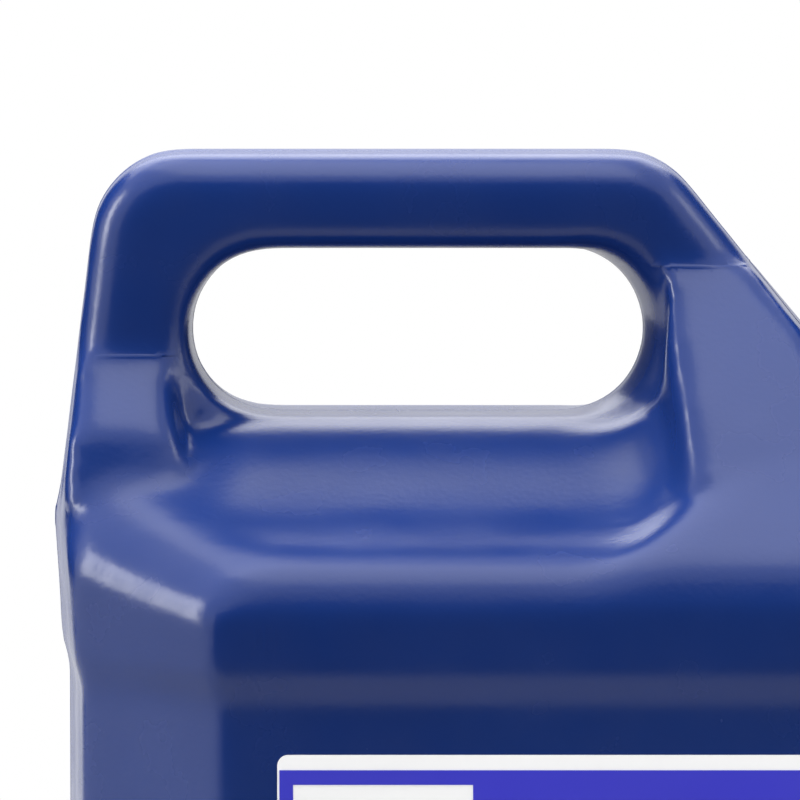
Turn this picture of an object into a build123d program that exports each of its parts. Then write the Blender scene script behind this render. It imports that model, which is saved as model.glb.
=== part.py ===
from build123d import *
import os
from math import cos, hypot, pi, radians, sin, sqrt, tan

# All sizes are millimetres. Z is up, the front faces -Y, the origin is the centre of the base.

# Moulding
WALL = 1.3
HEIGHT = 290.0

# Plan of the body: an octagon whose side faces meet in a slight ridge at the parting plane
BAND_HALF_W = 95.2
BAND_HALF_D = 65.0
BAND_LOW_HALF_W = BAND_HALF_W - 1.3
PANEL_HALF_W = BAND_HALF_W - 2.7
PANEL_HALF_D = BAND_HALF_D - 1.3
SIDE_TAPER = 3.5
FACET_START_Y = 39.0
FACET_RUN_X = 26.2
CORNER_R = 4.0

# Heights of the body's bands, from the floor below and from the handle's top above
BUMPER_TOP_Z = 26.0
PANEL_BOTTOM_Z = 31.0
PANEL_TOP_Z = HEIGHT - 97.0
BAND_BOTTOM_Z = HEIGHT - 91.5
BAND_WIDE_Z = HEIGHT - 71.0
WALLS_TOP_Z = HEIGHT - 28.0

# Rounded edge and push-up of the base
BASE_EDGE_R = 7.0
BASE_EDGE_STEPS = 4
HOLLOW_EDGE_STEPS = 2
PUSH_UP = 3.0
PUSH_UP_INSET = 11.0

# Neck with a low collar that the tamper ring sits on
NECK_X = BAND_HALF_W - 25.2
COLLAR_R = 19.8
COLLAR_H = 0.4
PLATFORM_Z = HEIGHT - 37.2
NECK_R = 18.0
BORE_R = 15.5
NECK_TOP_Z = PLATFORM_Z + 22.8
BEAD_R = NECK_R + 0.9
BEAD_Z = PLATFORM_Z + 3.2
BEAD_H = 2.0

# Handle loop
LOOP_HALF_D = 14.5
LOOP_FOOT_Z = HEIGHT - 66.0
POST_X_LOW = 2.2 - BAND_HALF_W
POST_Z_LOW = HEIGHT - 54.8
POST_X_HIGH = POST_X_LOW + 4.7
POST_Z_HIGH = HEIGHT - 16.9
OUTLINE_R = 17.0
SLOPE_TOP_X = NECK_X - 51.0
SLOPE_ANGLE = 51.3
SLOPE_END_X = NECK_X - 14.0
LOOP_EDGE_R = 7.8
HOLE_EDGE_R = 4.5
HOLE_LEFT_X = POST_X_LOW + 23.7
HOLE_RIGHT_X = SLOPE_TOP_X - 3.5
HOLE_BOTTOM_Z = HEIGHT - 49.1
HOLE_TOP_Z = HEIGHT - 17.8

# Roof of the body, drawn as a height over the plan
LIP_Y = 8.0
LIP_Z = HOLE_BOTTOM_Z - 0.05
LIP_RUN = 11.0
STEEP_SLOPE = 0.62
FLAT_RUN = 40.0
FLAT_SLOPE = 0.26
FRONT_EDGE_R = 12.0
FRONT_EDGE_TURN = 72.0
FACET_EDGE_R = 21.0
FACET_EDGE_TURN = 58.0
POST_SIDE_Z = HEIGHT - 65.0
POST_SIDE_SLOPE = 1.5
NECK_SIDE_Z = HEIGHT - 49.0
NECK_SIDE_SLOPE = 3.0
BLEND = 12.0
SHARP_BLEND = 4.0

# Flare at the post's foot and the swelling that carries the neck
POST_FOOT_Z = HEIGHT - 37.5
POST_FOOT_SLOPE = 1.03
POST_FOOT_END_Y = 27.0
POST_FOOT_END_SLOPE = 2.5
POST_FOOT_LEFT_LOW = POST_X_LOW - 1.3
POST_FOOT_LEFT_HIGH = POST_X_LOW + 2.3
POST_FOOT_RIGHT = POST_X_LOW + 20.0
POST_FOOT_RIGHT_SLOPE = 8.0
POST_FOOT_TURN_Y = 9.0
POST_FOOT_TURN = 0.55
POST_FOOT_EDGE_R = 3.0
SWELL_TOP_Z = PLATFORM_Z + 11.5
SWELL_SLOPE = 0.96
SWELL_RIDGE_X = NECK_X - 40.0
SWELL_RIDGE_Y = 30.0
SWELL_RIDGE_BEND = 0.02
SWELL_FLANK_SLOPE = 1.2

# Cap, sealing disc and tamper ring
LINER_T = 1.0
LINER_R = 18.9
CAP_R = 20.5
CAP_INNER_R = 19.3
CAP_TOP_T = 1.5
CAP_BOTTOM_Z = PLATFORM_Z + 6.5
CAP_EDGE_R = 1.2
GROOVE_COUNT = 48
GROOVE_W = 0.8
RING_TOP_Z = CAP_BOTTOM_Z - 0.5
RING_INNER_R = BEAD_R + 0.3
RING_LIP_R = NECK_R + 0.2
RING_LIP_H = 2.6

# Front label
FILM_T = 0.2
INK_T = 0.1
LABEL_HALF_W = PANEL_HALF_W - SIDE_TAPER - FACET_RUN_X - 10.2
LABEL_TOP_Z = PANEL_TOP_Z - 9.4
LABEL_BOTTOM_Z = PANEL_BOTTOM_Z + 9.0
LABEL_CORNER_R = 2.0
BORDER_TOP = 2.8
BORDER_SIDE = 0.4
BOX_LEFT_X = 2.9 - LABEL_HALF_W
BOX_RIGHT_X = BOX_LEFT_X + 33.0
BOX_TOP_Z = LABEL_TOP_Z - 5.5
BOX_BOTTOM_Z = BOX_TOP_Z - 26.1
EMBLEM_R = 7.0

# Sections that the roof is lofted through, wide apart where it doesn't change along X
ROOF_HALF_X = BAND_HALF_W + 5.8
ROOF_HALF_Y = BAND_HALF_D + 6.0
ROOF_CLEAR_Z = HEIGHT + 40.0
FACET_FROM_X = BAND_HALF_W - 35.2
EVEN_FROM_X = HOLE_LEFT_X + 23.3
EVEN_TO_X = HOLE_RIGHT_X - 13.5
OUTER_STEPS = (3.0, 5.0, 16.0)
OUTER_SAMPLES = 35
HOLLOW_STEPS = (7.0, 9.0, 24.0)
HOLLOW_SAMPLES = 17


def soft_min(a, b, r):
    """The smaller of two heights, with the crease between them rounded."""
    h = max(r - abs(a - b), 0.0) / r
    return min(a, b) - h ** 3 * r / 6.0


def soft_max(a, b, r):
    """The larger of two heights, with the crease between them rounded."""
    return -soft_min(-a, -b, r)


def plan_points(half_w, half_d):
    """Corners of the plan, anticlockwise from the left end of the parting plane."""
    left = half_w - SIDE_TAPER
    front = left - FACET_RUN_X
    quarter = [(-half_w, 0), (-left, -FACET_START_Y), (-front, -half_d)]
    front_half = quarter + [(-x, y) for x, y in reversed(quarter)]
    return front_half + [(x, -y) for x, y in reversed(front_half[1:-1])]


def plan_face(half_w, half_d, z, inset):
    """One level of the walls, its corners rounded outside and plain where it is inset."""
    face = Polygon(*plan_points(half_w, half_d), align=None)
    if inset > 0:
        return Pos(0, 0, z) * offset(face, amount=-inset, kind=Kind.INTERSECTION)
    corners = [v for v in face.vertices() if abs(v.Y) > 1.0]
    return Pos(0, 0, z) * fillet(corners, CORNER_R)


def walls(inset):
    """The walls from the base to above the roof, as a ruled loft through the bands."""
    levels = []
    steps = HOLLOW_EDGE_STEPS if inset > 0 else BASE_EDGE_STEPS
    for k in range(steps + 1):
        turn = pi / 2 * k / steps
        narrower = BASE_EDGE_R * (1 - sin(turn))
        height = inset + BASE_EDGE_R * (1 - cos(turn))
        levels.append((BAND_HALF_W - narrower, BAND_HALF_D - narrower, height))
    levels += [
        (BAND_HALF_W, BAND_HALF_D, BUMPER_TOP_Z),
        (PANEL_HALF_W, PANEL_HALF_D, PANEL_BOTTOM_Z),
        (PANEL_HALF_W, PANEL_HALF_D, PANEL_TOP_Z),
        (BAND_LOW_HALF_W, BAND_HALF_D, BAND_BOTTOM_Z),
        (BAND_HALF_W, BAND_HALF_D, BAND_WIDE_Z),
        (BAND_HALF_W, BAND_HALF_D, WALLS_TOP_Z),
    ]
    return loft([plan_face(w, d, z, inset) for w, d, z in levels], ruled=True)


def push_up(extra):
    """The raised middle of the base, as a tapered block to take away."""
    low = plan_face(BAND_HALF_W, BAND_HALF_D, 0.0, PUSH_UP_INSET - extra)
    high = plan_face(BAND_HALF_W, BAND_HALF_D, PUSH_UP + extra, PUSH_UP_INSET + PUSH_UP)
    return loft([low, high], ruled=True)


def shoulder_height(ya):
    """Front and back shoulder: round at the hand hole's lip, steepest below it, flatter at the edge."""
    run = max(ya - LIP_Y, 0.0)
    lip = min(run, LIP_RUN)
    bent = min(max(run - LIP_RUN, 0.0), FLAT_RUN)
    beyond = max(run - LIP_RUN - FLAT_RUN, 0.0)
    easing = (STEEP_SLOPE - FLAT_SLOPE) / (2.0 * FLAT_RUN)
    lip_drop = STEEP_SLOPE * lip ** 2 / (2.0 * LIP_RUN)
    return LIP_Z - lip_drop - STEEP_SLOPE * bent + easing * bent ** 2 - FLAT_SLOPE * beyond


def edge_drop(depth, r, turn):
    """How far an edge of radius r that turns down by an angle falls below the roof, at a depth."""
    start = radians(turn)
    reach = r * sin(start)
    if depth >= reach:
        return 0.0
    if depth < 0:
        return r * (1.0 - cos(start)) - depth * tan(start)
    return r - sqrt(r ** 2 - (reach - depth) ** 2)


def slope_height(x):
    """Height of the sloping edge between the handle and the neck's platform."""
    return HEIGHT - (x - SLOPE_TOP_X) * tan(radians(SLOPE_ANGLE))


def swell_height(x, ya):
    """The swelling from the front shoulder up to the neck's platform, level under the loop."""
    ya = max(ya, LOOP_HALF_D)
    ridge = SWELL_RIDGE_X - SWELL_RIDGE_BEND * max(ya - SWELL_RIDGE_Y, 0.0) ** 2
    flank = SWELL_FLANK_SLOPE * soft_max(ridge - x, 0.0, BLEND)
    front = SWELL_TOP_Z - SWELL_SLOPE * (ya - LOOP_HALF_D) - flank
    ceiling = soft_max(slope_height(x), PLATFORM_Z, SHARP_BLEND / 2)
    return soft_min(front, ceiling, BLEND / 2)


def facet_depth(x, ya):
    """Distance inside the corner facet's plane, for either side."""
    corner_x = BAND_HALF_W - SIDE_TAPER - FACET_RUN_X
    run_y = BAND_HALF_D - FACET_START_Y
    length = hypot(FACET_RUN_X, run_y)
    return ((corner_x - abs(x)) * run_y + (BAND_HALF_D - ya) * FACET_RUN_X) / length


def side_height(x, ya):
    """The sides that rise from the walls, less steep on the post's side than beside the neck."""
    depth = BAND_HALF_W - SIDE_TAPER * min(ya / FACET_START_Y, 1.0) - abs(x)
    if x > 0:
        return NECK_SIDE_Z + NECK_SIDE_SLOPE * depth
    return POST_SIDE_Z + POST_SIDE_SLOPE * depth


def roof_height(x, y):
    """Height of the body's roof over a point of the plan."""
    ya = soft_max(abs(y), LIP_Y, SHARP_BLEND)
    roof = soft_max(shoulder_height(ya), swell_height(x, ya), BLEND)
    roof = soft_min(roof, side_height(x, ya), BLEND / 2)
    front_drop = edge_drop(BAND_HALF_D - abs(y), FRONT_EDGE_R, FRONT_EDGE_TURN)
    facet_drop = edge_drop(facet_depth(x, abs(y)), FACET_EDGE_R, FACET_EDGE_TURN)
    return roof - soft_max(front_drop, facet_drop, SHARP_BLEND)


def inset_roof_height(x, y, inset):
    """The roof moved down so that the wall under it has its thickness square to it."""
    step = 0.5
    here = roof_height(x, y)
    if inset == 0:
        return here
    slope_x = (roof_height(x + step, y) - roof_height(x - step, y)) / (2 * step)
    slope_y = (roof_height(x, y + step) - roof_height(x, y - step)) / (2 * step)
    return here - inset * sqrt(1.0 + slope_x ** 2 + slope_y ** 2)


def roof_stops(facet_step, blend_step, even_step):
    """Positions along X of the roof's sections, closest where they cross the corner facets."""
    stops = [-ROOF_HALF_X]
    while stops[-1] < ROOF_HALF_X:
        x = stops[-1]
        step = facet_step if abs(x) > FACET_FROM_X else blend_step
        if EVEN_FROM_X <= x < EVEN_TO_X:
            step = even_step
        stops.append(min(x + step, ROOF_HALF_X))
    return stops


def roof_section(x, inset):
    """What lies over the roof at one position, smooth outside and of straight runs for the hollow."""
    samples = HOLLOW_SAMPLES if inset > 0 else OUTER_SAMPLES
    along = [j / (samples - 1) for j in range(samples)]
    heights = [(x, y, inset_roof_height(x, y, inset)) for y in (ROOF_HALF_Y * (2 * t - 1) for t in along)]
    top = [(x, ROOF_HALF_Y, ROOF_CLEAR_Z), (x, -ROOF_HALF_Y, ROOF_CLEAR_Z)]
    if inset > 0:
        return Face(Wire.make_polygon(heights + top, close=True))
    curve = Edge.make_spline(heights, parameters=along)
    sides = [Line(heights[-1], top[0]), Line(*top), Line(top[1], heights[0])]
    return Face(Wire([curve] + sides))


def above_roof(inset):
    """Everything over the roof, as a solid to take away from the walls."""
    steps = HOLLOW_STEPS if inset > 0 else OUTER_STEPS
    return loft([roof_section(x, inset) for x in roof_stops(*steps)], ruled=True)


def loop_outline(inset):
    """Outline of the handle loop in the parting plane, without its hole."""
    lean = (POST_X_HIGH - POST_X_LOW) / (POST_Z_HIGH - POST_Z_LOW)
    left_foot = POST_X_LOW - lean * (POST_Z_LOW - LOOP_FOOT_Z)
    left_top = POST_X_HIGH + lean * (HEIGHT - POST_Z_HIGH)
    points = [
        (left_foot, LOOP_FOOT_Z),
        (left_top, HEIGHT),
        (SLOPE_TOP_X, HEIGHT),
        (SLOPE_END_X, slope_height(SLOPE_END_X)),
        (SLOPE_END_X, LOOP_FOOT_Z),
    ]
    face = Polygon(*points, align=None)
    if inset > 0:
        face = offset(face, amount=-inset, kind=Kind.INTERSECTION)
    tops = [v for v in face.vertices() if v.Y > HEIGHT - 2 * WALL - 0.1]
    return fillet(tops, OUTLINE_R - inset)


def hole_slot(inset):
    """The hand hole, grown by the inset."""
    length = HOLE_RIGHT_X - HOLE_LEFT_X + 2 * inset
    height = HOLE_TOP_Z - HOLE_BOTTOM_Z + 2 * inset
    centre = Pos((HOLE_LEFT_X + HOLE_RIGHT_X) / 2, (HOLE_BOTTOM_Z + HOLE_TOP_Z) / 2)
    return centre * SlotOverall(length, height)


def flat_side_edges(solid, half_d):
    """The edges that lie in a plate's front and back planes."""
    return [e for e in solid.edges() if abs(abs(e.center().Y) - half_d) < 1e-4]


def handle_loop(inset):
    """The loop as a thick plate with rounded edges, or plain chamfers in the hollow."""
    half_d = LOOP_HALF_D - inset
    plate = extrude(Plane.XZ * loop_outline(inset), amount=half_d, both=True)
    drill = extrude(Plane.XZ * hole_slot(inset), amount=half_d, both=True)
    foot_z = LOOP_FOOT_Z + inset + 0.1
    outer = [e for e in flat_side_edges(plate, half_d) if e.center().Z > foot_z]
    outer = [e for e in outer if e.center().X < SLOPE_END_X - inset - 0.1]
    ease = chamfer if inset > 0 else fillet
    plate = ease(outer, LOOP_EDGE_R - inset) - drill
    rim = [e for e in flat_side_edges(plate, half_d) if is_rim(e, inset)]
    return ease(rim, HOLE_EDGE_R - inset if inset > 0 else HOLE_EDGE_R)


def is_rim(edge, inset):
    """Whether an edge lies on the hand hole's outline."""
    x, z = edge.position_at(0.5).X, edge.position_at(0.5).Z
    r = (HOLE_TOP_Z - HOLE_BOTTOM_Z) / 2
    mid_z = (HOLE_BOTTOM_Z + HOLE_TOP_Z) / 2
    near_x = min(max(x, HOLE_LEFT_X + r), HOLE_RIGHT_X - r)
    return abs(hypot(x - near_x, z - mid_z) - r - inset) < 0.01


def foot_plan(left, right, z, inset):
    """The post's foot at one height: it turns in towards the front and back from its left end."""
    reach_y = POST_FOOT_TURN_Y + (right - left) / POST_FOOT_TURN
    points = [(left, -POST_FOOT_TURN_Y), (right, -reach_y), (right, reach_y), (left, POST_FOOT_TURN_Y)]
    face = Polygon(*points, align=None)
    if inset > 0:
        face = offset(face, amount=-inset, kind=Kind.INTERSECTION)
    return Pos(0, 0, z) * face


def post_foot(inset):
    """The flare at the post's foot: leaning planes front and back that end in steep ones."""
    end_z = POST_FOOT_Z - POST_FOOT_SLOPE * (POST_FOOT_END_Y - LOOP_HALF_D)
    low_y = POST_FOOT_END_Y + (end_z - LOOP_FOOT_Z) / POST_FOOT_END_SLOPE
    half = [(low_y, LOOP_FOOT_Z), (POST_FOOT_END_Y, end_z), (LOOP_HALF_D, POST_FOOT_Z)]
    profile = Polygon(*half, *[(-y, z) for y, z in reversed(half)], align=None)
    if inset > 0:
        profile = offset(profile, amount=-inset, kind=Kind.INTERSECTION)
    low_right = POST_FOOT_RIGHT + (POST_FOOT_Z - LOOP_FOOT_Z) / POST_FOOT_RIGHT_SLOPE
    low = foot_plan(POST_FOOT_LEFT_LOW, low_right, LOOP_FOOT_Z, inset)
    high = foot_plan(POST_FOOT_LEFT_HIGH, POST_FOOT_RIGHT, POST_FOOT_Z, inset)
    foot = loft([low, high], ruled=True) & extrude(Plane.YZ * profile, amount=ROOF_HALF_X, both=True)
    if inset > 0:
        return foot
    edges = [e for e in foot.edges() if abs(e.center().Y) > LOOP_HALF_D + 0.1]
    edges = [e for e in edges if e.center().Z > LOOP_FOOT_Z + 0.1]
    return fillet(edges, POST_FOOT_EDGE_R)


def jug_form(inset):
    """The jug's form without its neck, moved inwards by the inset."""
    body = walls(inset) - above_roof(inset)
    body = body - push_up(inset)
    return body + post_foot(inset) + handle_loop(inset)


def disc(r, z0, z1):
    """A cylinder on the neck's axis between two heights."""
    return Pos(NECK_X, 0, (z0 + z1) / 2) * Cylinder(r, z1 - z0)


def neck():
    """The neck's tube with its collar and the bead that holds the tamper ring."""
    tube = disc(NECK_R, PLATFORM_Z - WALL, NECK_TOP_Z)
    bead = disc(BEAD_R, BEAD_Z, BEAD_Z + BEAD_H)
    collar = disc(COLLAR_R, PLATFORM_Z - WALL, PLATFORM_Z + COLLAR_H)
    return tube + bead + collar


def jug_body():
    """The blow-moulded jug: its form with the neck, hollowed by the inset form."""
    outside = jug_form(0.0) + neck()
    inside = jug_form(WALL)
    bore = disc(BORE_R, PLATFORM_Z - 3 * WALL, NECK_TOP_Z)
    return outside - inside - bore


def cap():
    """The screw cap, its skirt cut with V grooves that leave ribs between them."""
    inner_top = NECK_TOP_Z + LINER_T
    top = inner_top + CAP_TOP_T
    shell = disc(CAP_R, CAP_BOTTOM_Z, top)
    shell = chamfer(shell.edges().group_by(Axis.Z)[-1], CAP_EDGE_R)
    groove = Rot(0, 0, 45) * Box(GROOVE_W, GROOVE_W, top - CAP_BOTTOM_Z - 2 * CAP_EDGE_R)
    groove = Pos(CAP_R, 0, (top + CAP_BOTTOM_Z) / 2 - CAP_EDGE_R / 2) * groove
    grooves = [Pos(NECK_X, 0, 0) * Rot(0, 0, 360 * i / GROOVE_COUNT) * groove for i in range(GROOVE_COUNT)]
    return shell - grooves - disc(CAP_INNER_R, CAP_BOTTOM_Z, inner_top)


def cap_liner():
    """The sealing disc between the neck's rim and the cap."""
    return disc(LINER_R, NECK_TOP_Z, NECK_TOP_Z + LINER_T)


def tamper_ring():
    """The band left on the neck, with its lip under the bead."""
    low = PLATFORM_Z + COLLAR_H
    ring = disc(CAP_R, low, RING_TOP_Z)
    ring = ring - disc(RING_INNER_R, low + RING_LIP_H, RING_TOP_Z)
    return ring - disc(RING_LIP_R, low, low + RING_LIP_H)


def front_sheet(sketch, thickness, y):
    """A thin sheet on the front, its back at y."""
    return extrude(Plane.XZ.offset(-y) * sketch, amount=thickness)


def label_rectangle(x0, x1, z0, z1):
    """A rectangle drawn by its limits."""
    return Pos((x0 + x1) / 2, (z0 + z1) / 2) * Rectangle(x1 - x0, z1 - z0)


def front_label():
    """The white film in the front's recess."""
    film = label_rectangle(-LABEL_HALF_W, LABEL_HALF_W, LABEL_BOTTOM_Z, LABEL_TOP_Z)
    film = fillet(film.vertices(), LABEL_CORNER_R)
    return front_sheet(film, FILM_T, -PANEL_HALF_D)


def label_field():
    """The printed field with a window that leaves the film bare."""
    half_w = LABEL_HALF_W - BORDER_SIDE
    field = label_rectangle(-half_w, half_w, LABEL_BOTTOM_Z + BORDER_TOP, LABEL_TOP_Z - BORDER_TOP)
    window = label_rectangle(BOX_LEFT_X, BOX_RIGHT_X, BOX_BOTTOM_Z, BOX_TOP_Z)
    return front_sheet(field - window, INK_T, -PANEL_HALF_D - FILM_T)


def label_emblem():
    """A plain drop printed in the window."""
    mid_x = (BOX_LEFT_X + BOX_RIGHT_X) / 2
    low_z = BOX_BOTTOM_Z + EMBLEM_R + BORDER_TOP
    reach = EMBLEM_R * 0.8
    tip = Polygon((mid_x - reach, low_z + EMBLEM_R * 0.6), (mid_x + reach, low_z + EMBLEM_R * 0.6),
                  (mid_x, low_z + 1.9 * EMBLEM_R), align=None)
    drop = Pos(mid_x, low_z) * Circle(EMBLEM_R) + tip
    return front_sheet(drop, INK_T, -PANEL_HALF_D - FILM_T)


PARTS = {
    "jug_body": jug_body,
    "cap": cap,
    "cap_liner": cap_liner,
    "tamper_ring": tamper_ring,
    "front_label": front_label,
    "label_field": label_field,
    "label_emblem": label_emblem,
}

os.makedirs("parts", exist_ok=True)
for node, make in PARTS.items():
    export_step(make(), f"parts/{node}.step")
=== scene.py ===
import bpy
import bmesh
from math import cos, pi, radians, sin
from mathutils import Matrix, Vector

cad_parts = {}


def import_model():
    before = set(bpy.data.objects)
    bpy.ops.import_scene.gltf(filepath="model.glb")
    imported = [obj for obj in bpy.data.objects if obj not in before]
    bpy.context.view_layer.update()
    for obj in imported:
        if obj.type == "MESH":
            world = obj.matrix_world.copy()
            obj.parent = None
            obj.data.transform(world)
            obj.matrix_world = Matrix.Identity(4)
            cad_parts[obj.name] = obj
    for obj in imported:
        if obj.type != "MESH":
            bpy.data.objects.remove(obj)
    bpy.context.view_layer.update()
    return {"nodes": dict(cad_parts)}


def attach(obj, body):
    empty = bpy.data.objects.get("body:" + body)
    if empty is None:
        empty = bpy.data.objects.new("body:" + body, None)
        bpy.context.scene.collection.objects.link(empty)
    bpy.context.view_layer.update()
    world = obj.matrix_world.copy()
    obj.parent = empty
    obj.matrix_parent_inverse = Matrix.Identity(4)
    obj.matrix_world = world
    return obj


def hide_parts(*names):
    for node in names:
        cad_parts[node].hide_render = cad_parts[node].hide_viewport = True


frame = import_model()
nodes = frame["nodes"]

# Camera: level of the hand hole, far away, looking slightly down
TARGET = Vector((-0.0301, 0.0, 0.2428))
DISTANCE = 2.0
ELEVATION = radians(5.5)
SENSOR_MM = 36.0
PIXELS_PER_M = 5300.0
FRAME_PIXELS = 800.0

# Neck, with a bead over the tamper ring's lip and a two-start thread
NECK_X = 0.070
NECK_R = 0.018
NECK_BASE_Z = 0.2500
COLLAR_TOP_Z = 0.2532
NECK_TOP_Z = 0.2756
NECK_AREA_R = 0.0206
NECK_SIDES = 144
NECK_ROWS = 110
BEAD_R = 0.0189
BEAD_Z = 0.2560
BEAD_H = 0.0020
THREAD_LEAD = 0.008
THREAD_STARTS = 2
THREAD_H = 0.0010
THREAD_LOW_Z = 0.2605
THREAD_HIGH_Z = 0.2735
THREAD_HALF_W = 0.0012

# Skin of the jug: grid of its mesh and rounds of smoothing, with more on the roof and the post's foot
VOXEL = 0.0017
SMOOTH_ROUNDS = 2
ROOF_ROUNDS = 7
ROOF_MIN_Z = 0.204
FOOT_ROUNDS = 8
FOOT_MAX_X = -0.067
FOOT_MIN_Y = 0.0125
FOOT_MAX_Y = 0.042
FOOT_LOW_Z = 0.222
FOOT_HIGH_Z = 0.2545

# Hand hole with the centres of its round ends, and its draft
HOLE_LEFT_X = -0.05365
HOLE_RIGHT_X = -0.00015
HOLE_Z = 0.25655
HOLE_R = 0.01565
LOOP_HALF_D = 0.0145
FLARE_LEFT = 0.0008
FLARE_RIGHT = 0.0036
FLARE_MARGIN = 0.002
FLARE_REACH = 0.011
FLARE_MAX_Y = 1.5 * LOOP_HALF_D
FLARE_SIDEWAYS = 0.8

# Broad lip under the hand hole: each end is full at the first X and has run out at the second
LIP_RAISE = 0.0025
LIP_MIN_Y = 0.009
LIP_MAX_Y = 0.045
LIP_LEFT_X = (-0.058, -0.070)
LIP_RIGHT_X = (0.006, 0.026)
LIP_TOP_Z = 0.2415
LIP_FADE_Z = 0.246

# Leaning planes from the fine lines down to the roof: at the neck's side, and at the post as Y and Z
LEAN_TOP_Z = 0.2695
LEAN_LOW_Z = 0.2330
LEAN_SLOPE = 1.16
LEAN_INNER_Y = 0.010
LEAN_LEFT_X = 0.0150
LEAN_DRAFT = 0.18
SLOPE_MEETS_TOP_X = 0.0354
SLOPE_MEETS_PLATFORM_X = 0.0488
PLATFORM_Z = 0.2528
POST_LEAN = ((0.0145, 0.2525), (0.0270, 0.2395), (0.0318, 0.2260))
POST_LEAN_LEFT_X = -0.0905
POST_LEAN_RIGHT_X = -0.0732
POST_LEAN_SPREAD = 0.10

# Stretch around the leaning plane's edge beside the hand hole that is smoothed once more
LEAN_ROUNDS = 26
LEAN_SOFT_MAX_X = 0.030
LEAN_SOFT_MIN_Y = 0.0125
LEAN_SOFT_MAX_Y = 0.045

# Fine lines that the mould leaves, as low ridges
LINE_HALF_W = 0.00030
LINE_RISE = 0.00011
POST_LINE_Z = 0.2525
POST_LINE_MIN_X = -0.0865
POST_LINE_MAX_X = -0.0722
NECK_LINE_Z = 0.2693
NECK_LINE_MIN_X = 0.0165
TICK_XS = (-0.0566, -0.0548, -0.0530)
TICK_LOW_Z = 0.2018
TICK_HIGH_Z = 0.2077
TICK_MIN_Y = 0.060

# Colours, as linear light
NAVY_LOW = (0.0045, 0.0215, 0.128)
NAVY_HIGH = (0.0052, 0.0245, 0.142)
PRINT_LOW = (0.037, 0.036, 0.50)
PRINT_HIGH = (0.042, 0.041, 0.54)
EMBLEM_LOW = (0.020, 0.060, 0.36)
EMBLEM_HIGH = (0.026, 0.072, 0.40)
PRINT_GLOSS = (0.30, 0.40)

# Light: each lamp's name, place, width, height, watts, and whether the gloss shows it
AMBIENT = 0.45
LAMP_AIM = Vector((0.0, 0.0, 0.24))
LAMPS = (
    ("top", (-0.2, 0.25, 1.7), 2.2, 1.8, 60.0, False),
    ("top_strip", (-0.1, -0.05, 1.6), 1.7, 0.6, 5.0, True),
    ("back_top", (-0.1, 1.25, 1.25), 2.4, 1.0, 14.0, True),
    ("left", (-1.6, -0.08, 0.80), 0.35, 1.1, 12.0, True),
    ("right", (1.6, -0.08, 0.90), 0.40, 1.2, 5.0, True),
    ("left_back", (-1.2, 0.9, 0.9), 1.0, 1.0, 9.0, False),
    ("fill_left", (-1.2, -1.3, 0.9), 1.0, 1.0, 10.0, False),
    ("fill_right", (1.3, -1.0, 0.8), 1.0, 1.0, 8.0, False),
)

# Floor, and the black cards in front, on the floor and behind on both sides
FLOOR_HALF = 1.1
FLOOR_GREY = 0.30
CARD_FRONT_Y = -1.6
CARD_LEFT_X = -1.4
CARD_FRONT_RIGHT_X = 1.2
CARD_FLOOR_RIGHT_X = 1.4
CARD_FLOOR_BACK_Y = -0.6
CARD_FLOOR_Z = 0.002
CARD_LOW_Z = -0.2
CARD_HIGH_Z = 1.6
BACK_CARD_INNER = (0.62, 1.5)
BACK_CARD_OUTER = (1.5, 0.7)
BACK_CARD_H = 1.5


def new_object(name, mesh):
    """A mesh object in the scene."""
    obj = bpy.data.objects.new(name, mesh)
    bpy.context.scene.collection.objects.link(obj)
    return obj


def select_only(obj):
    """Makes obj the one active, selected object."""
    for other in bpy.context.selected_objects:
        other.select_set(False)
    obj.select_set(True)
    bpy.context.view_layer.objects.active = obj


def apply_modifier(obj, kind, **settings):
    """Adds one modifier with its settings and applies it."""
    modifier = obj.modifiers.new("step", kind)
    for key, value in settings.items():
        setattr(modifier, key, value)
    select_only(obj)
    bpy.ops.object.modifier_apply(modifier="step")


def smooth_all(obj):
    """Smooth shading on the whole mesh."""
    obj.data.polygons.foreach_set("use_smooth", [True] * len(obj.data.polygons))


def camera():
    """The photograph's camera."""
    data = bpy.data.cameras.new("camera")
    data.sensor_width = SENSOR_MM
    data.lens = PIXELS_PER_M * DISTANCE * SENSOR_MM / FRAME_PIXELS
    data.clip_end = 50.0
    obj = bpy.data.objects.new("camera", data)
    bpy.context.scene.collection.objects.link(obj)
    obj.location = TARGET + DISTANCE * Vector((0.0, -cos(ELEVATION), sin(ELEVATION)))
    obj.rotation_euler = (pi / 2 - ELEVATION, 0.0, 0.0)
    bpy.context.scene.camera = obj


def world():
    """White where the camera and the gloss look, and a soft light for the rest."""
    shade = bpy.data.worlds.new("studio")
    bpy.context.scene.world = shade
    shade.use_nodes = True
    tree = shade.node_tree
    tree.nodes.clear()
    out = tree.nodes.new("ShaderNodeOutputWorld")
    path = tree.nodes.new("ShaderNodeLightPath")
    seen = tree.nodes.new("ShaderNodeMath")
    seen.operation = "MAXIMUM"
    also = tree.nodes.new("ShaderNodeMath")
    also.operation = "MAXIMUM"
    mix = tree.nodes.new("ShaderNodeMixShader")
    light = tree.nodes.new("ShaderNodeBackground")
    light.inputs["Color"].default_value = (1.0, 1.0, 1.0, 1.0)
    light.inputs["Strength"].default_value = AMBIENT
    white = tree.nodes.new("ShaderNodeBackground")
    white.inputs["Color"].default_value = (1.0, 1.0, 1.0, 1.0)
    white.inputs["Strength"].default_value = 1.0
    link = tree.links.new
    link(path.outputs["Is Camera Ray"], seen.inputs[0])
    link(path.outputs["Is Glossy Ray"], seen.inputs[1])
    link(seen.outputs[0], also.inputs[0])
    link(path.outputs["Is Transmission Ray"], also.inputs[1])
    link(also.outputs[0], mix.inputs["Fac"])
    link(light.outputs[0], mix.inputs[1])
    link(white.outputs[0], mix.inputs[2])
    link(mix.outputs[0], out.inputs["Surface"])


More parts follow.
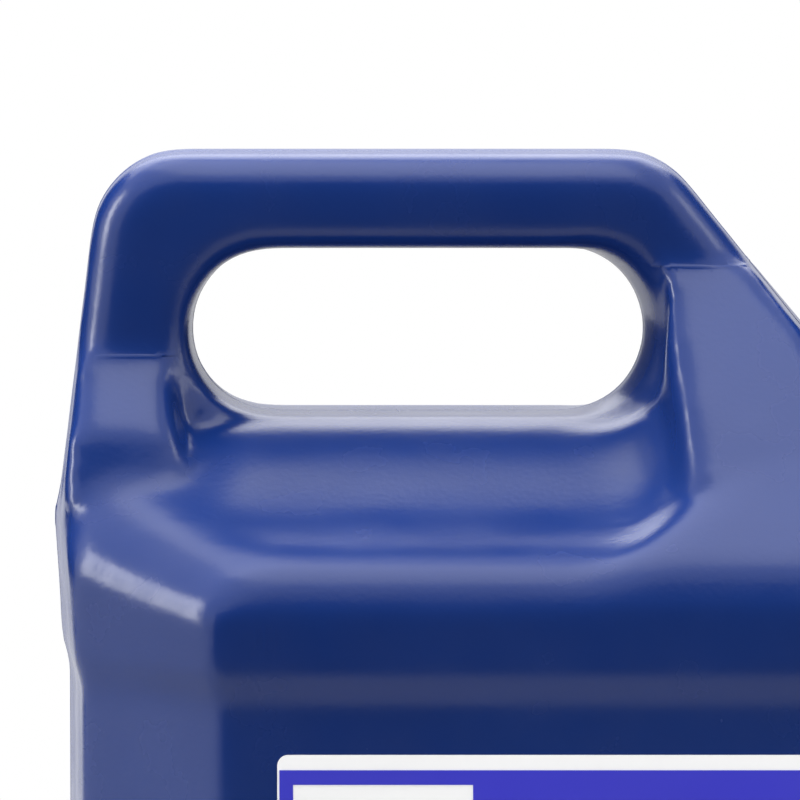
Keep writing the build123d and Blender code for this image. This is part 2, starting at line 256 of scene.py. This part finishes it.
def area_light(name, location, size_x, size_y, power, in_gloss):
    """A soft rectangular lamp aimed at the handle, which the gloss may show or not."""
    data = bpy.data.lights.new(name, "AREA")
    data.shape = "RECTANGLE"
    data.size = size_x
    data.size_y = size_y
    data.energy = power
    obj = bpy.data.objects.new(name, data)
    bpy.context.scene.collection.objects.link(obj)
    obj.location = location
    obj.rotation_euler = (LAMP_AIM - Vector(location)).to_track_quat("-Z", "Y").to_euler()
    obj.visible_glossy = in_gloss


def plane(name, corners):
    """A single quad."""
    mesh = bpy.data.meshes.new(name)
    mesh.from_pydata(corners, [], [(0, 1, 2, 3)])
    return new_object(name, mesh)


def principled(name):
    """A new material and its Principled shader."""
    material = bpy.data.materials.new(name)
    material.use_nodes = True
    return material, material.node_tree.nodes["Principled BSDF"]


def noise_ramp(tree, scale, detail, low, high):
    """Object-space noise through a colour ramp between two colours."""
    coords = tree.nodes.new("ShaderNodeTexCoord")
    noise = tree.nodes.new("ShaderNodeTexNoise")
    noise.inputs["Scale"].default_value = scale
    noise.inputs["Detail"].default_value = detail
    ramp = tree.nodes.new("ShaderNodeValToRGB")
    ramp.color_ramp.elements[0].position = 0.3
    ramp.color_ramp.elements[1].position = 0.7
    ramp.color_ramp.elements[0].color = low + (1.0,)
    ramp.color_ramp.elements[1].color = high + (1.0,)
    tree.links.new(coords.outputs["Object"], noise.inputs["Vector"])
    tree.links.new(noise.outputs["Fac"], ramp.inputs["Fac"])
    return noise, ramp


def grey(value):
    """A grey as three channels."""
    return (value, value, value)


def plastic(name, low, high, roughness, grain, grain_size, depth):
    """Moulded plastic: mottled colour, uneven gloss and the grain of the mould's wall."""
    material, shader = principled(name)
    tree = material.node_tree
    _, colour = noise_ramp(tree, 22.0, 3.0, low, high)
    tree.links.new(colour.outputs["Color"], shader.inputs["Base Color"])
    _, gloss = noise_ramp(tree, 60.0, 4.0, grey(roughness[0]), grey(roughness[1]))
    tree.links.new(gloss.outputs["Color"], shader.inputs["Roughness"])
    texture, _ = noise_ramp(tree, 1.0 / grain_size, 2.0, grey(0.0), grey(1.0))
    bump = tree.nodes.new("ShaderNodeBump")
    bump.inputs["Strength"].default_value = grain
    bump.inputs["Distance"].default_value = depth
    tree.links.new(texture.outputs["Fac"], bump.inputs["Height"])
    tree.links.new(bump.outputs["Normal"], shader.inputs["Normal"])
    return material


def jug_plastic():
    """Navy polyethylene with a satin gloss."""
    return plastic("jug_plastic", NAVY_LOW, NAVY_HIGH, (0.21, 0.29), 0.25, 0.0011, 0.00010)


def split_shells():
    """The outside of the CAD jug without its neck, and its hollow, as two closed meshes."""
    mesh = bmesh.new()
    mesh.from_mesh(nodes["jug_body"].data)
    bmesh.ops.remove_doubles(mesh, verts=mesh.verts, dist=1e-6)
    rim = [f for f in mesh.faces if abs(f.calc_center_median().z - NECK_TOP_Z) < 1e-5]
    bmesh.ops.delete(mesh, geom=rim, context="FACES")
    mesh.verts.ensure_lookup_table()
    start = max(mesh.verts, key=lambda v: abs(v.co.x))
    outside = {start}
    queue = [start]
    while queue:
        for edge in queue.pop().link_edges:
            for vert in edge.verts:
                if vert not in outside:
                    outside.add(vert)
                    queue.append(vert)
    hollow = mesh.copy()
    picked = [v.index for v in mesh.verts if v in outside]
    hollow.verts.ensure_lookup_table()
    bmesh.ops.delete(hollow, geom=[hollow.verts[i] for i in picked], context="VERTS")
    inner = [v for v in mesh.verts if v not in outside]
    neck_line = COLLAR_TOP_Z + 1e-5
    neck = [v for v in mesh.verts if v in outside and on_neck(v.co) and v.co.z > neck_line]
    bmesh.ops.delete(mesh, geom=inner + neck, context="VERTS")
    return closed(mesh, "outside"), closed(hollow, "hollow", flip=True)


def on_neck(point):
    """Whether a point is close enough to the neck's axis to belong to the neck."""
    return (point.x - NECK_X) ** 2 + point.y ** 2 < NECK_AREA_R ** 2


def closed(mesh, name, flip=False):
    """Fills the open loops of a bmesh and returns it as an object."""
    bmesh.ops.holes_fill(mesh, edges=[e for e in mesh.edges if e.is_boundary])
    bmesh.ops.triangulate(mesh, faces=mesh.faces)
    bmesh.ops.recalc_face_normals(mesh, faces=mesh.faces)
    data = bpy.data.meshes.new(name)
    mesh.to_mesh(data)
    mesh.free()
    return new_object(name, data)


def soften(obj, inside, rounds):
    """Smooths only the vertices that a test picks."""
    group = obj.vertex_groups.new(name="soft")
    group.add([v.index for v in obj.data.vertices if inside(v.co)], 1.0, "REPLACE")
    apply_modifier(obj, "SMOOTH", factor=0.5, iterations=rounds, vertex_group="soft")
    obj.vertex_groups.clear()


def fade(value, full, none):
    """One at full, nought at none, and smooth between them."""
    t = min(max((value - none) / (full - none), 0.0), 1.0)
    return t * t * (3.0 - 2.0 * t)


def flare_hole(obj):
    """Opens the hand hole's ends towards the front and back, as the mould's draft does."""
    for vert in obj.data.vertices:
        point = vert.co
        out = Vector((point.x - min(max(point.x, HOLE_LEFT_X), HOLE_RIGHT_X), 0.0, point.z - HOLE_Z))
        r = out.length
        if r < 0.5 * HOLE_R or r > HOLE_R + FLARE_REACH or abs(point.y) > FLARE_MAX_Y:
            continue
        near = fade(r, HOLE_R + FLARE_MARGIN, HOLE_R + FLARE_REACH)
        near *= fade(abs(point.y), LOOP_HALF_D, FLARE_MAX_Y)
        sideways = fade(abs(out.x) / r, FLARE_SIDEWAYS, 0.0)
        flare = FLARE_RIGHT if out.x > 0 else FLARE_LEFT
        draft = flare * min(abs(point.y) / LOOP_HALF_D, 1.0) * near * sideways
        vert.co = point + out * (draft / r)


def lean_wedge(side):
    """The leaning plane beside the hand hole as a closed wedge, on the front or the back."""
    reach = LOOP_HALF_D + (LEAN_TOP_Z - LEAN_LOW_Z) / LEAN_SLOPE
    ledge = LOOP_HALF_D + (LEAN_TOP_Z - PLATFORM_Z) / LEAN_SLOPE
    low = [(LEAN_INNER_Y, LEAN_LOW_Z), (reach, LEAN_LOW_Z)]
    tall = [(LEAN_INNER_Y, LEAN_TOP_Z), (LOOP_HALF_D, LEAN_TOP_Z)] + low
    short = [(LEAN_INNER_Y, PLATFORM_Z), (ledge, PLATFORM_Z)] + low
    points = [(LEAN_LEFT_X + LEAN_DRAFT * y, side * y, z) for y, z in tall]
    points += [(SLOPE_MEETS_TOP_X, side * y, z) for y, z in tall]
    points += [(SLOPE_MEETS_PLATFORM_X, side * y, z) for y, z in short]
    return hull(points)


def post_wedge(side):
    """The leaning plane at the post's foot, a little wider towards its low end."""
    low_z = POST_LEAN[-1][1]
    points = []
    for y, z in ((LEAN_INNER_Y, POST_LEAN[0][1]),) + POST_LEAN + ((LEAN_INNER_Y, low_z),):
        spread = POST_LEAN_SPREAD * (POST_LEAN[0][1] - z)
        points += [(POST_LEAN_LEFT_X - spread, side * y, z), (POST_LEAN_RIGHT_X + spread, side * y, z)]
    return hull(points)


def hull(points):
    """The closed convex body around some points."""
    mesh = bmesh.new()
    for point in points:
        mesh.verts.new(point)
    bmesh.ops.convex_hull(mesh, input=mesh.verts)
    return closed(mesh, "wedge")


def join_wedges(skin):
    """Adds the leaning planes to the skin before its mesh is made even."""
    wedges = [make(side) for side in (-1, 1) for make in (lean_wedge, post_wedge)]
    select_only(skin)
    for wedge in wedges:
        wedge.select_set(True)
    bpy.ops.object.join()


def raise_lip(obj):
    """Makes the lip under the hand hole broader and flatter, front and back."""
    for vert in obj.data.vertices:
        point = vert.co
        along = (abs(point.y) - LIP_MIN_Y) / (LIP_MAX_Y - LIP_MIN_Y)
        if not 0.0 < along < 1.0 or point.z < ROOF_MIN_Z:
            continue
        middle = fade(point.x, *LIP_LEFT_X) * fade(point.x, *LIP_RIGHT_X)
        rise = LIP_RAISE * sin(pi * along ** 0.8) ** 2
        point.z += rise * middle * fade(point.z, LIP_TOP_Z, LIP_FADE_Z)


def at_foot(point):
    """Whether a point is on the flare at the post's foot, front or back."""
    across = FOOT_MIN_Y < abs(point.y) < FOOT_MAX_Y
    return point.x < FOOT_MAX_X and across and FOOT_LOW_Z < point.z < FOOT_HIGH_Z


def beside_lean(point):
    """Whether a point is near the edge of the leaning plane beside the hand hole."""
    along = HOLE_RIGHT_X < point.x < LEAN_SOFT_MAX_X
    across = LEAN_SOFT_MIN_Y < abs(point.y) < LEAN_SOFT_MAX_Y
    return along and across and ROOF_MIN_Z < point.z < LEAN_TOP_Z - 2 * VOXEL


def ridge(mesh, place, normal, inside):
    """Raises a fine line where a plane crosses the faces that a test picks."""
    place = Vector(place)
    normal = Vector(normal)
    for step in (-1, 0, 1):
        faces = [f for f in mesh.faces if inside(f.calc_center_median())]
        faces = [f for f in faces if abs((f.calc_center_median() - place).dot(normal)) < 2 * VOXEL]
        edges = {e for f in faces for e in f.edges}
        verts = {v for f in faces for v in f.verts}
        geometry = list(verts) + list(edges) + faces
        at = place + step * LINE_HALF_W * normal
        bmesh.ops.bisect_plane(mesh, geom=geometry, dist=1e-7, plane_co=at, plane_no=normal)
    mesh.normal_update()
    crest = [v for v in mesh.verts if abs((v.co - place).dot(normal)) < 1e-6 and inside(v.co)]
    for vert in crest:
        vert.co += LINE_RISE * vert.normal


def mould_lines(skin):
    """The parting line round the jug, the lines at the flares and three short ticks."""
    mesh = bmesh.new()
    mesh.from_mesh(skin.data)
    ridge(mesh, (0, 0, 0), (0, 1, 0), lambda p: True)
    ridge(mesh, (0, 0, POST_LINE_Z), (0, 0, 1), lambda p: POST_LINE_MIN_X < p.x < POST_LINE_MAX_X)
    ridge(mesh, (0, 0, NECK_LINE_Z), (0, 0, 1), lambda p: NECK_LINE_MIN_X < p.x < NECK_X - NECK_R)
    for x in TICK_XS:
        ridge(mesh, (x, 0, 0), (1, 0, 0), on_tick)
    mesh.to_mesh(skin.data)
    mesh.free()


def on_tick(point):
    """Whether a point is in the band of the front that carries the ticks."""
    return point.y < -TICK_MIN_Y and TICK_LOW_Z < point.z < TICK_HIGH_Z


def jug():
    """The jug's skin with soft edges, its neck with a thread, and its hollow."""
    skin, hollow = split_shells()
    join_wedges(skin)
    apply_modifier(skin, "REMESH", mode="VOXEL", voxel_size=VOXEL, adaptivity=0.0)
    flare_hole(skin)
    flare_hole(hollow)
    raise_lip(skin)
    apply_modifier(skin, "SMOOTH", factor=0.5, iterations=SMOOTH_ROUNDS)
    soften(skin, lambda p: p.z > ROOF_MIN_Z, ROOF_ROUNDS)
    soften(skin, at_foot, FOOT_ROUNDS)
    soften(skin, beside_lean, LEAN_ROUNDS)
    mould_lines(skin)
    neck = neck_mesh()
    apply_modifier(skin, "BOOLEAN", operation="UNION", object=neck, solver="MANIFOLD")
    apply_modifier(skin, "BOOLEAN", operation="DIFFERENCE", object=hollow, solver="MANIFOLD")
    for tool in (neck, hollow):
        bpy.data.objects.remove(tool)
    skin.name = "jug_skin"
    smooth_all(skin)
    skin.data.materials.clear()
    skin.data.materials.append(jug_plastic())
    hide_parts("jug_body")
    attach(skin, "jug")


def neck_radius(z):
    """Radius of the neck's tube and bead at a height."""
    if BEAD_Z <= z <= BEAD_Z + BEAD_H:
        return BEAD_R
    return NECK_R


def neck_mesh():
    """The neck as a closed turned body, its thread raised from the wall."""
    mesh = bmesh.new()
    rings = []
    for j in range(NECK_ROWS + 1):
        z = NECK_BASE_Z + (NECK_TOP_Z - NECK_BASE_Z) * j / NECK_ROWS
        ring = []
        for i in range(NECK_SIDES):
            turn = 2 * pi * i / NECK_SIDES
            r = neck_radius(z) + thread_rise(turn, z)
            ring.append(mesh.verts.new((NECK_X + r * cos(turn), r * sin(turn), z)))
        rings.append(ring)
    for low, high in zip(rings, rings[1:]):
        for i in range(NECK_SIDES):
            k = (i + 1) % NECK_SIDES
            mesh.faces.new((low[i], low[k], high[k], high[i]))
    mesh.faces.new(list(reversed(rings[0])))
    mesh.faces.new(rings[-1])
    return closed(mesh, "neck")


def thread_rise(turn, z):
    """How far the two-start thread stands out at an angle and a height."""
    if z < THREAD_LOW_Z or z > THREAD_HIGH_Z:
        return 0.0
    pitch = THREAD_LEAD / THREAD_STARTS
    phase = (z - THREAD_LEAD * turn / (2 * pi)) % pitch
    off = min(phase, pitch - phase)
    run_out = min(z - THREAD_LOW_Z, THREAD_HIGH_Z - z, THREAD_H) / THREAD_H
    return THREAD_H * max(0.0, 1.0 - (off / THREAD_HALF_W) ** 2) * run_out


def label_film():
    """White plastic film with a slight mottle."""
    return plastic("label_film", grey(0.90), grey(0.94), (0.34, 0.42), 0.15, 0.004, 0.00005)


def label_blue():
    """Violet-blue print."""
    return plastic("label_blue", PRINT_LOW, PRINT_HIGH, PRINT_GLOSS, 0.15, 0.004, 0.00005)


def emblem_ink():
    """Plain blue print."""
    return plastic("emblem_ink", EMBLEM_LOW, EMBLEM_HIGH, PRINT_GLOSS, 0.15, 0.004, 0.00005)


def cap_plastic():
    """Navy moulded plastic of the cap and the ring."""
    return plastic("cap_plastic", NAVY_LOW, NAVY_HIGH, (0.22, 0.30), 0.20, 0.0008, 0.00006)


def liner_foam():
    """White foamed sheet with fine cells."""
    return plastic("liner_foam", grey(0.78), grey(0.84), (0.7, 0.8), 0.5, 0.0006, 0.0001)


def dress(node, material):
    """Gives a CAD node its material."""
    data = nodes[node].data
    data.materials.clear()
    data.materials.append(material)


def dress_nodes():
    """Materials of the pieces that keep their CAD form."""
    navy = cap_plastic()
    dress("cap", navy)
    dress("tamper_ring", navy)
    dress("cap_liner", liner_foam())
    dress("front_label", label_film())
    dress("label_field", label_blue())
    dress("label_emblem", emblem_ink())


def stage():
    """Pale floor with the object's shadow, and the studio's black cards."""
    half = FLOOR_HALF
    floor = plane("floor", [(-half, -half, 0), (half, -half, 0), (half, half, 0), (-half, half, 0)])
    material, shader = principled("floor_white")
    shader.inputs["Base Color"].default_value = grey(FLOOR_GREY) + (1.0,)
    shader.inputs["Roughness"].default_value = 0.8
    floor.data.materials.append(material)
    left, front = CARD_LEFT_X, CARD_FRONT_Y
    upright = [(left, CARD_LOW_Z), (CARD_FRONT_RIGHT_X, CARD_LOW_Z)]
    upright += [(CARD_FRONT_RIGHT_X, CARD_HIGH_Z), (left, CARD_HIGH_Z)]
    glossy_card("card_front", [(x, front, z) for x, z in upright])
    level = [(left, front), (CARD_FLOOR_RIGHT_X, front)]
    level += [(CARD_FLOOR_RIGHT_X, CARD_FLOOR_BACK_Y), (left, CARD_FLOOR_BACK_Y)]
    glossy_card("card_floor", [(x, y, CARD_FLOOR_Z) for x, y in level])
    for name, side in (("card_back_left", -1.0), ("card_back_right", 1.0)):
        foot = [(side * x, y) for x, y in (BACK_CARD_INNER, BACK_CARD_OUTER)]
        corners = [(x, y, 0.0) for x, y in foot] + [(x, y, BACK_CARD_H) for x, y in reversed(foot)]
        glossy_card(name, corners)


def glossy_card(name, corners):
    """A black card of the studio that only the gloss sees."""
    card = plane(name, corners)
    material, shader = principled(name)
    shader.inputs["Base Color"].default_value = (0.0, 0.0, 0.0, 1.0)
    shader.inputs["Roughness"].default_value = 1.0
    card.data.materials.append(material)
    card.visible_camera = False
    card.visible_diffuse = False
    card.visible_shadow = False
    card.visible_transmission = False


camera()
world()
for lamp in LAMPS:
    area_light(*lamp)
stage()
jug()
dress_nodes()

bpy.context.scene.view_settings.view_transform = "Standard"
